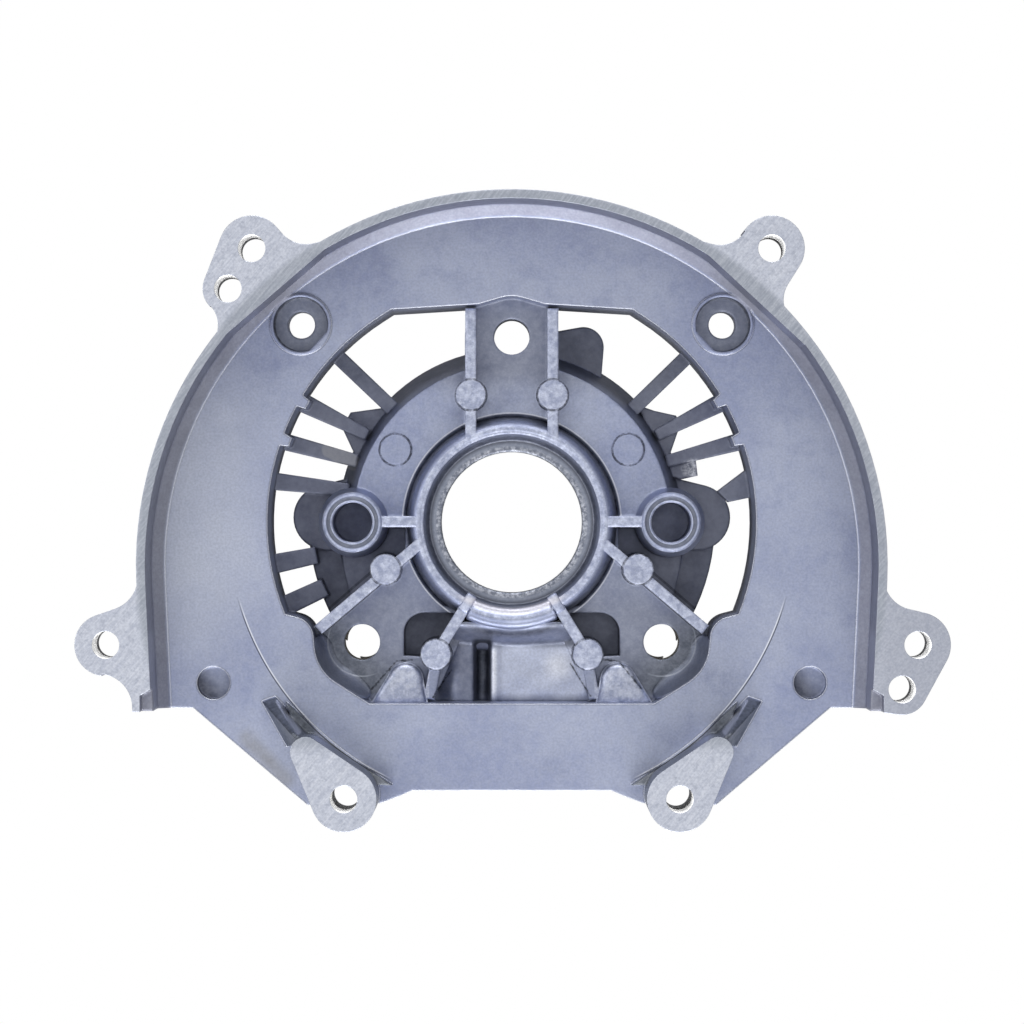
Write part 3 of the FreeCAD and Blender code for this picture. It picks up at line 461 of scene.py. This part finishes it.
def cut_faces(tree, ring_shade):
    """Cut faces: a grey rim, bright ears and bosses with marks of handling and darker towards the lower
    right, and the speckled seat.
    """
    add = tree.add
    marked = add("ShaderNodeMapRange", {0: tree.marks, 1: 0.35, 2: 0.7}, interpolation_type="SMOOTHSTEP")
    rim = add("ShaderNodeMix", {0: marked, 6: linear("a6acb8"), 7: linear("c0c5cf")}, data_type="RGBA")
    plate = add("ShaderNodeMix", {0: marked, 6: linear("cbd0de"), 7: linear("dde1ec")}, data_type="RGBA")
    # Ears and bosses are darker towards the lower right
    right = add("ShaderNodeMapRange", {0: tree.x, 1: 70.0, 2: 96.0, 4: 0.6}, interpolation_type="SMOOTHSTEP")
    lower = add("ShaderNodeMapRange", {0: tree.y, 1: 20.0, 2: -20.0}, interpolation_type="SMOOTHSTEP")
    darker_lower_right = add("ShaderNodeMath", {0: right, 1: lower}, operation="MULTIPLY")
    plate = add("ShaderNodeMix", {0: darker_lower_right, 6: plate, 7: linear("aaaebb")}, data_type="RGBA")
    handled = add("ShaderNodeMapRange", {0: tree.mottle, 1: 0.5, 2: 0.66, 4: 0.5})
    plate = add("ShaderNodeMix", {0: handled, 6: plate, 7: linear("a9afbf")}, data_type="RGBA")
    ears = add("ShaderNodeMapRange", {0: tree.off_ring, 1: 89.4, 2: 91.4}, interpolation_type="SMOOTHSTEP")
    wide = add("ShaderNodeMath", {0: ears, 1: tree.bosses}, operation="MAXIMUM")
    cut = add("ShaderNodeMix", {0: wide, 6: rim, 7: plate}, data_type="RGBA")
    specks = add("ShaderNodeTexNoise", {"Vector": tree.place, "Scale": 1.0, "Detail": 3.0,
                                        "Roughness": 0.75})
    specks = add("ShaderNodeMapRange", {0: specks, 1: 0.42, 2: 0.62})
    seat = add("ShaderNodeMix", {0: specks, 6: linear("7f8492"), 7: linear("c9cdd8")}, data_type="RGBA")
    smooth_part = add("ShaderNodeMapRange", {0: tree.off_axis, 1: 18.5, 2: 18.9, 4: 0.85})
    seat = add("ShaderNodeMix", {0: smooth_part, 6: seat, 7: linear("949aaa")}, data_type="RGBA")
    # The collar's painted shade reaches the edge of the seat
    seat = add("ShaderNodeMix", {0: ring_shade, 6: seat, 7: linear("33353f")}, data_type="RGBA")
    return add("ShaderNodeMix", {0: tree.seat, 6: cut, 7: seat}, data_type="RGBA")


def grain(tree, colour):
    """The fine grain of the metal, drawn 0.55 mm wide so that it shows."""
    add = tree.add
    fine = add("ShaderNodeTexNoise", {"Vector": tree.place, "Scale": 1 / 0.55, "Detail": 2.0,
                                      "Roughness": 0.6})
    fine = add("ShaderNodeMapRange", {0: fine, 1: 0.3, 2: 0.7, 4: 0.22}, interpolation_type="SMOOTHSTEP")
    return add("ShaderNodeMix", {0: fine, 6: colour, 7: linear("6f7586")}, data_type="RGBA")


def screw_holes(tree, colour):
    """Screw holes: a bright countersink, whose slope the relief draws, above a thread painted dark as shade.
    """
    add = tree.add
    countersink = add("ShaderNodeMapRange", {0: tree.z, 1: COUNTERSINK - 0.3, 2: COUNTERSINK + 0.3})
    inside = add("ShaderNodeMix", {0: countersink, 6: linear("242428"), 7: linear("ffffff")},
                 data_type="RGBA")
    return add("ShaderNodeMix", {0: tree.in_hole, 6: colour, 7: inside}, data_type="RGBA")


def painted_edge_highlights(tree):
    """Share of the thin painted highlights: on the floor's edge at the opening and on the disc's edge at the
    channel.
    """
    add = tree.add
    thin = add("ShaderNodeBevel", {"Radius": 0.4 * MM}, samples=4)
    bend = add("ShaderNodeVectorMath", {0: thin, 1: tree.face_normal}, operation="DOT_PRODUCT")
    bend = add("ShaderNodeMapRange", {0: bend, 1: 0.998, 2: 0.93})
    bright = add("ShaderNodeMath", {0: bend, 1: tree.floor_edge}, operation="MULTIPLY")
    disc_level = add("ShaderNodeMath", {0: tree.z, 1: WEB - 0.1, 2: 0.3}, operation="COMPARE")
    disc_edge = add("ShaderNodeMath", {0: tree.off_axis, 1: 27.05, 2: 0.18}, operation="COMPARE")
    for share in (disc_level, 0.7):
        disc_edge = add("ShaderNodeMath", {0: disc_edge, 1: share}, operation="MULTIPLY")
    return add("ShaderNodeMath", {0: bright, 1: disc_edge}, operation="MAXIMUM")


def release_and_flash(tree, colour):
    """Broken dark lines of die release round the pads, and cracked flash that wanders."""
    add = tree.add
    ragged = add("ShaderNodeTexNoise", {"Vector": tree.place, "Scale": 1 / 1.3, "Detail": 3.0,
                                        "Roughness": 0.7})
    lines = 0.0
    for x, y, radius in PADS:
        reach = add("ShaderNodeVectorMath", {0: tree.folded, 1: (x, y, 0.0)}, operation="DISTANCE")
        reach = add("ShaderNodeMath", {0: reach, 1: radius, 2: 0.28}, operation="COMPARE")
        lines = add("ShaderNodeMath", {0: lines, 1: reach}, operation="MAXIMUM")
    above_disc = add("ShaderNodeMapRange", {0: tree.z, 1: 18.0, 2: 19.0})
    broken = add("ShaderNodeMapRange", {0: ragged, 1: 0.35, 2: 0.6, 3: 0.15, 4: 0.75})
    for share in (above_disc, broken):
        lines = add("ShaderNodeMath", {0: lines, 1: share}, operation="MULTIPLY")
    wander = add("ShaderNodeMath", {0: ragged, 1: 1.6}, operation="MULTIPLY")
    for start, end in FLASH:
        reach = near_line(tree, tree.flat, start, end)
        reach = add("ShaderNodeMath", {0: reach, 1: wander}, operation="ADD")
        crack = add("ShaderNodeMapRange", {0: reach, 1: 0.75, 2: 1.1, 3: 0.85, 4: 0.0})
        lines = add("ShaderNodeMath", {0: lines, 1: crack}, operation="MAXIMUM")
    return add("ShaderNodeMix", {0: lines, 6: colour, 7: linear("2b2c31")}, data_type="RGBA")


def step_line(tree, colour):
    """The step line of the floor: an arc at each side with a painted highlight on one edge and painted shade
    on the other.
    """
    add = tree.add
    bearing = add("ShaderNodeMath", {0: tree.y, 1: tree.fold_x}, operation="ARCTAN2")
    past_start = add("ShaderNodeMapRange", {0: bearing, 1: math.radians(-15), 2: math.radians(-20)})
    before_end = add("ShaderNodeMapRange", {0: bearing, 1: math.radians(-65), 2: math.radians(-62)})
    on_floor = add("ShaderNodeMath", {0: tree.z, 1: FLOOR + 1.9, 2: 2.2}, operation="COMPARE")
    for middle, tone, strength in ((69.5, "eceff7", 0.8), (69.82, "33353f", 0.75)):
        line = soft_line(tree, tree.off_axis, middle, 0.08, 0.2, strength)
        for share in (past_start, before_end, on_floor):
            line = add("ShaderNodeMath", {0: line, 1: share}, operation="MULTIPLY")
        colour = add("ShaderNodeMix", {0: line, 6: colour, 7: linear(tone)}, data_type="RGBA")
    return colour


def floor_edge_shadow(tree, colour, edges, bright):
    """A dark line beside the bright edge of the floor."""
    add = tree.add
    turn = add("ShaderNodeVectorMath", {0: edges, 1: tree.face_normal}, operation="DOT_PRODUCT")
    turn = add("ShaderNodeMapRange", {0: turn, 1: 0.999, 2: 0.97, 4: 0.55})
    dull = add("ShaderNodeMath", {0: 1.0, 1: bright}, operation="SUBTRACT")
    for share in (dull, tree.floor_edge, tree.facing_up):
        turn = add("ShaderNodeMath", {0: turn, 1: share}, operation="MULTIPLY")
    return add("ShaderNodeMix", {0: turn, 6: colour, 7: linear("50535f")}, data_type="RGBA")


def relief(tree, edges):
    """Swells and pits of the skin, cutter marks in the rim and the slope of the countersinks."""
    add = tree.add
    swells = add("ShaderNodeTexNoise", {"Vector": tree.place, "Scale": 1 / 9, "Detail": 2.0,
                                        "Roughness": 0.5})
    uneven = add("ShaderNodeBump", {"Height": swells, "Strength": 0.35, "Distance": 0.4 * MM,
                                    "Normal": edges})
    pits = add("ShaderNodeTexNoise", {"Vector": tree.place, "Scale": 1 / 1.1, "Detail": 3.0,
                                      "Roughness": 0.6})
    pit_strength = add("ShaderNodeMapRange", {0: tree.rib_faces, 3: 0.35, 4: 0.8})
    pitted = add("ShaderNodeBump", {"Height": pits, "Strength": pit_strength, "Distance": 0.08 * MM,
                                    "Normal": uneven})
    mark_strength = add("ShaderNodeMath", {0: tree.rim, 1: 0.3}, operation="MULTIPLY")
    scratched = add("ShaderNodeBump", {"Height": tree.marks, "Strength": mark_strength,
                                       "Distance": 0.03 * MM, "Normal": pitted})
    slope = add("ShaderNodeMath", {0: COUNTERSINK, 1: tree.z}, operation="SUBTRACT")
    slope = add("ShaderNodeMath", {0: slope, 1: 0.0}, operation="MINIMUM")
    for share in (tree.in_hole, 1.7):
        slope = add("ShaderNodeMath", {0: slope, 1: share}, operation="MULTIPLY")
    return add("ShaderNodeBump", {"Height": slope, "Strength": 1.0, "Distance": MM, "Normal": scratched})


def die_cast_aluminium():
    """Aluminium as it leaves the die: a blue-grey skin, matt and stained, that shows no clear reflection.

    Where a cutter has passed over it the metal is bare, so it is brighter and a little smoother. Its colour
    also holds painted shade in hollows, creases and on walls, and painted highlights on edges, crests and
    faces."""
    material = bpy.data.materials.new("die_cast_aluminium")
    tree = CastingTree(material)
    add = tree.add
    skin = skin_tones(tree)
    for finish in (ring_wall, deep_faces, block_and_groove):
        skin = finish(tree, skin)
    ring_shade = collar_ring_shade(tree)
    # Painted shade in the dark circles round the collar's bead
    skin = add("ShaderNodeMix", {0: ring_shade, 6: skin, 7: linear("33353f")}, data_type="RGBA")
    for finish in (bosses_and_recesses, stud_lobes, rib_shadows, counterbores, boss_ridges, dirt,
                   rough_faces, shining_bead, spoke_ends):
        skin = finish(tree, skin)
    colour = add("ShaderNodeMix", {0: tree.machined, 6: skin, 7: cut_faces(tree, ring_shade)}, data_type="RGBA")
    colour = grain(tree, colour)
    colour = screw_holes(tree, colour)
    bright = painted_edge_highlights(tree)
    # Painted highlights on thin edges
    colour = add("ShaderNodeMix", {0: bright, 6: colour, 7: linear("e9ecf5")}, data_type="RGBA")
    colour = release_and_flash(tree, colour)
    colour = step_line(tree, colour)

    # Cast edges are rounded more than cut ones
    near_rim = add("ShaderNodeMapRange", {0: tree.z, 1: RIM - 4.0, 2: RIM - 1.0})
    radius = add("ShaderNodeMix", {0: near_rim, 2: 0.9 * MM, 3: 0.25 * MM})
    edges = add("ShaderNodeBevel", {"Radius": radius}, samples=6)
    colour = floor_edge_shadow(tree, colour, edges, bright)

    rough_skin = add("ShaderNodeMapRange", {0: tree.blots, 1: 0.3, 2: 0.7, 3: 0.44, 4: 0.58})
    rough = add("ShaderNodeMix", {0: tree.machined, 2: rough_skin, 3: 0.4})
    add("ShaderNodeBsdfPrincipled", {"Base Color": colour, "Metallic": 1.0, "Roughness": rough,
                                     "Normal": relief(tree, edges)}, node=tree.nodes["Principled BSDF"])
    return material


metal = die_cast_aluminium()
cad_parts["crankcase_half"].material_slots[0].material = metal


# Small cast forms on the solid

def cast_piece(name, shape, softness=0):
    """A finished shape as a piece of the casting; softness is how often it is subdivided."""
    bmesh.ops.recalc_face_normals(shape, faces=shape.faces)
    mesh = bpy.data.meshes.new(name)
    shape.to_mesh(mesh)
    shape.free()
    mesh.materials.append(metal)
    mesh.shade_smooth()
    piece = bpy.data.objects.new(name, mesh)
    bpy.context.collection.objects.link(piece)
    if softness:
        rounding = piece.modifiers.new("rounding", "SUBSURF")
        rounding.levels = softness
        rounding.render_levels = softness
    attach(piece, "root")


def upright_section(shape, profile, centre, bearing):
    """Closed section of radius and height, in millimetres, that stands off an upright axis at a bearing."""
    points = [shape.verts.new(centre + Vector((r, 0.0, z)) * MM) for r, z in profile]
    section = [shape.edges.new(ends) for ends in zip(points, points[1:] + points[:1])]
    turn = Matrix.Rotation(math.radians(bearing), 3, "Z")
    bmesh.ops.rotate(shape, cent=centre, matrix=turn, verts=points)
    return points, section


def turned(name, profile, centre=(0.0, 0.0, 0.0), start=0.0, sweep=360.0, steps=96):
    """Closed section of radius and height turned about an upright axis, from a bearing and in degrees."""
    shape = bmesh.new()
    axis = Vector(centre) * MM
    points, section = upright_section(shape, profile, axis, start)
    bmesh.ops.spin(shape, geom=points + section, cent=axis, axis=(0.0, 0.0, 1.0), angle=math.radians(sweep),
                   steps=steps, use_merge=sweep == 360.0, use_duplicate=False)
    ends = [edge for edge in shape.edges if edge.is_boundary]
    if ends:
        bmesh.ops.holes_fill(shape, edges=ends)
    cast_piece(name, shape, 1)


# Rounded bead of the collar, with the hollow round the seat on its inner side
turned("collar_bead", [
    (20.3, 20.6), (20.55, 21.6), (20.85, 22.9), (21.25, 24.5), (21.8, 25.6), (22.5, 26.1), (23.2, 26.15),
    (24.0, 25.9), (24.75, 25.1), (25.3, 23.7), (25.65, 21.9), (25.95, 20.2), (26.3, 19.0), (25.6, 18.2),
    (23.0, 18.0), (21.0, 19.0),
])

# Below the bore the bead splits in two ridges
turned("collar_saddle", [
    (20.25, 20.9), (20.35, 22.8), (20.55, 24.6), (21.0, 25.9), (21.7, 26.7), (22.4, 26.6), (23.0, 26.2),
    (23.5, 26.06), (24.1, 26.2), (24.7, 26.7), (25.3, 26.8), (25.9, 26.3), (26.5, 25.3), (26.5, 23.5),
    (24.0, 22.0), (21.0, 20.2),
], start=244.0, sweep=52.0, steps=40)


def rib_end(name, side):
    """End of a lower rib, which runs over the bead to the seat."""
    shape = bmesh.new()
    bmesh.ops.create_cube(shape, size=1.0)
    bmesh.ops.scale(shape, vec=Vector((4.9, 2.7, 4.0)) * MM, verts=shape.verts)
    bmesh.ops.bevel(shape, geom=shape.edges[:], offset=0.35 * MM, affect="EDGES", segments=2, profile=0.5,
                    material=-1)
    way = math.atan2(RIB_PAD[1] - RIB_START[1], (RIB_PAD[0] - RIB_START[0]) * side)
    bmesh.ops.rotate(shape, matrix=Matrix.Rotation(way, 3, "Z"), verts=shape.verts)
    bmesh.ops.translate(shape, vec=Vector((10.9 * side, -19.9, 24.2)) * MM, verts=shape.verts)
    cast_piece(name, shape)


rib_end("rib_end_left", -1)
rib_end("rib_end_right", 1)

# Double rim of each coil boss
for rim_name, rim_side in (("coil_rim_left", -1), ("coil_rim_right", 1)):
    turned(rim_name, [
        (7.35, 25.4), (7.3, 26.0), (7.05, 26.35), (6.7, 26.4), (6.35, 26.2), (6.0, 26.04), (5.6, 26.04),
        (5.45, 26.2), (5.2, 26.25), (4.95, 26.1), (4.88, 25.6), (5.2, 25.0), (7.0, 25.0),
    ], centre=(rim_side * COIL_BOSS[0], 0.0, 0.0), steps=64)


def drawn_on(shape, section, move):
    """A section extruded by a move in millimetres; gives the points and edges at its new end."""
    pushed = bmesh.ops.extrude_edge_only(shape, edges=section)["geom"]
    points = [item for item in pushed if isinstance(item, bmesh.types.BMVert)]
    edges = [item for item in pushed if isinstance(item, bmesh.types.BMEdge)
             and all(vert in points for vert in item.verts)]
    bmesh.ops.translate(shape, vec=Vector(move) * MM, verts=points)
    return points, edges


def stud_cove(name, side):
    """Hollow between the web and the opening's wall round a lower stud: a run, an arc and a short end."""
    shape = bmesh.new()
    centre = Vector(STUD) * MM
    start_points, start_section = upright_section(shape, [
        (11.75, 27.6), (11.3, 26.6), (10.7, 24.6), (9.9, 22.7), (9.0, 21.3), (8.1, 20.4), (7.1, 19.97),
        (6.5, 19.5), (9.5, 19.0), (12.0, 19.4), (12.1, 27.3),
    ], centre, 302.0)

    # The run follows the wall in two lengths and thins out at its end
    section = start_section
    for move in ((-4.0, -2.5, 0.0), (-3.7, -2.3, 0.0)):
        points, section = drawn_on(shape, section, move)
    run_end = Matrix.Translation(Vector((-35.0, 43.7, -WEB)) * MM)
    bmesh.ops.scale(shape, vec=(0.45, 0.45, 0.6), space=run_end, verts=points)

    # The arc goes round the stud and leads to the short end
    arc = bmesh.ops.spin(shape, geom=start_points + start_section, cent=centre, axis=(0.0, 0.0, 1.0),
                         angle=math.radians(53), steps=28, use_merge=False, use_duplicate=False)
    arc_end = [item for item in arc["geom_last"] if isinstance(item, bmesh.types.BMEdge)]
    points = drawn_on(shape, arc_end, (0.2, 3.0, 0.0))[0]
    short_end = Matrix.Translation(Vector((-48.5, 30.4, -WEB)) * MM)
    bmesh.ops.scale(shape, vec=(0.5, 1.0, 0.6), space=short_end, verts=points)
    bmesh.ops.holes_fill(shape, edges=[edge for edge in shape.edges if edge.is_boundary])
    bmesh.ops.scale(shape, vec=(side, 1.0, 1.0), verts=shape.verts)
    cast_piece(name, shape, 1)


stud_cove("stud_cove_left", -1)
stud_cove("stud_cove_right", 1)


def smooth_step(value, start, end):
    """0 before start, 1 after end and soft between them."""
    share = max(0.0, min(1.0, (value - start) / (end - start)))
    return share * share * (3.0 - 2.0 * share)


def cover_height(x, y):
    """Height of the surface between the lower ribs: hump, groove, block and the slope to the collar."""
    open_groove = smooth_step(-y, 28.8, 31.0)
    hump = smooth_step(x, -9.9, -7.9)
    block = smooth_step(x, -6.6, -5.0)
    groove = 4.8 * open_groove * (hump - block)
    block_edge = 0.55 * open_groove * (1.0 - smooth_step(abs(x + 4.1), 0.0, 1.9))
    left_fall = 2.2 * open_groove * smooth_step(-x, 12.5, 19.0)
    waves = 0.14 * math.sin(0.55 * x + 0.4) * math.sin(0.8 * y)
    from_collar = 0.25 * math.hypot(x, y) - 0.75 * y
    slope = 6.3 * (1.0 - smooth_step(from_collar, 25.4, 31.0))
    return WEB - 0.55 - groove + block_edge - left_fall + waves + slope


def cover_half_width(y):
    """Half the width between the lower ribs, which spread down to their pads and hardly below them."""
    if y > RIB_PAD[1]:
        spread = (RIB_PAD[0] - RIB_START[0]) / (RIB_START[1] - RIB_PAD[1])
        return RIB_START[0] + spread * (RIB_START[1] - y)
    return RIB_PAD[0] + 1.7 / 11.1 * (RIB_PAD[1] - y)


def cover_surface():
    """Cast surface below the collar, from rib to rib."""
    middle_y = -34.45
    half_height = 9.95
    shape = bmesh.new()
    bmesh.ops.create_grid(shape, x_segments=96, y_segments=96, size=1.0)
    for vert in shape.verts:
        y = middle_y + half_height * vert.co.y
        x = cover_half_width(y) * vert.co.x
        vert.co = Vector((x, y, cover_height(x, y))) * MM
    under = bmesh.ops.extrude_face_region(shape, geom=shape.faces[:], use_keep_orig=True)
    lower = [item for item in under["geom"] if isinstance(item, bmesh.types.BMVert)]
    bmesh.ops.translate(shape, vec=(0.0, 0.0, -1.0 * MM), verts=lower)
    cast_piece("cover_surface", shape)


cover_surface()


def corner_hump(name, side):
    """Rounded top of the hump in a lower corner of the opening."""
    shape = bmesh.new()
    outline = [(34.6, -44.7), (20.9, -44.7)]
    middle = (26.2, -39.0)
    radius = 4.35
    for step in range(13):
        turn = math.radians(-10 + 14 * step)
        outline.append((middle[0] - radius * math.cos(turn), middle[1] + radius * math.sin(turn)))
    corners = [shape.verts.new(Vector((x * side, y, WEB + 1.0)) * MM) for x, y in outline]
    raised = bmesh.ops.extrude_face_region(shape, geom=[shape.faces.new(corners)], use_keep_orig=True)
    top = [item for item in raised["geom"] if isinstance(item, bmesh.types.BMVert)]
    bmesh.ops.translate(shape, vec=(0.0, 0.0, 2.7 * MM), verts=top)
    rim = [edge for edge in shape.edges if all(vert in top for vert in edge.verts)]
    bmesh.ops.bevel(shape, geom=rim, offset=1.6 * MM, affect="EDGES", segments=5, profile=0.5, material=-1)
    cast_piece(name, shape)


corner_hump("corner_hump_left", -1)
corner_hump("corner_hump_right", 1)


# Floor, light and camera

def pale_floor():
    """White to the camera, as on the photo, and a pale matt floor to the light."""
    material = bpy.data.materials.new("pale_floor")
    tree = Tree(material)
    white = tree.add("ShaderNodeEmission", {"Color": linear("ffffff"), "Strength": 1.0})
    paint = tree.add("ShaderNodeBsdfPrincipled", {"Base Color": linear("d8d8d8"), "Roughness": 0.9},
                     node=tree.nodes["Principled BSDF"])
    seen = tree.add("ShaderNodeLightPath").outputs["Is Camera Ray"]
    both = tree.add("ShaderNodeMixShader", {0: seen, 1: paint, 2: white})
    tree.add("ShaderNodeOutputMaterial", {"Surface": both}, node=tree.nodes["Material Output"])
    return material


bpy.ops.mesh.primitive_plane_add(size=6.0, location=(0.0, 0.0, -0.5 * MM))
floor = bpy.context.object
floor.name = "floor"
floor.data.materials.append(pale_floor())

# The studio is brighter overhead than at the horizon, and plain white to the camera
world = bpy.data.worlds.new("studio")
bpy.context.scene.world = world
sky = Tree(world)
direction = sky.add("ShaderNodeTexCoord").outputs["Generated"]
upward = sky.add("ShaderNodeSeparateXYZ", {0: direction}).outputs[2]
glow = sky.add("ShaderNodeMapRange", {0: upward, 3: 0.25, 4: 0.85})
to_camera = sky.add("ShaderNodeLightPath").outputs["Is Camera Ray"]
brightness = sky.add("ShaderNodeMix", {0: to_camera, 2: glow, 3: 1.0})
sky.add("ShaderNodeBackground", {"Color": linear("ffffff"), "Strength": brightness},
        node=sky.nodes["Background"])


def softbox(name, place, aim, width, height, watts):
    """Rectangular soft light that the camera doesn't see."""
    data = bpy.data.lights.new(name, "AREA")
    data.shape = "RECTANGLE"
    data.size = width
    data.size_y = height
    data.energy = watts
    lamp = bpy.data.objects.new(name, data)
    lamp.location = place
    lamp.rotation_mode = "QUATERNION"
    lamp.rotation_quaternion = (Vector(aim) - Vector(place)).to_track_quat("-Z", "Y")
    lamp.visible_camera = False
    bpy.context.collection.objects.link(lamp)


bore = (0.0, 0.0, WEB * MM)
softbox("front_light", (0.0, -0.9, 0.55), bore, 0.9, 0.5, 9.0)
softbox("back_light", (0.0, 0.95, 0.6), bore, 0.9, 0.4, 5.0)
softbox("left_light", (-1.0, 0.1, 0.8), bore, 0.5, 0.5, 3.0)

# The camera looks straight down, as on the photo
camera_data = bpy.data.cameras.new("camera")
camera = bpy.data.objects.new("camera", camera_data)
bpy.context.collection.objects.link(camera)
camera.location = (0.00005, 0.00255, 0.978)
camera_data.sensor_width = 36.0
camera_data.lens = 136.1
camera_data.clip_start = 0.01
camera_data.clip_end = 20.0
bpy.context.scene.camera = camera

bpy.context.scene.view_settings.view_transform = "Standard"
bpy.context.scene.view_settings.look = "None"
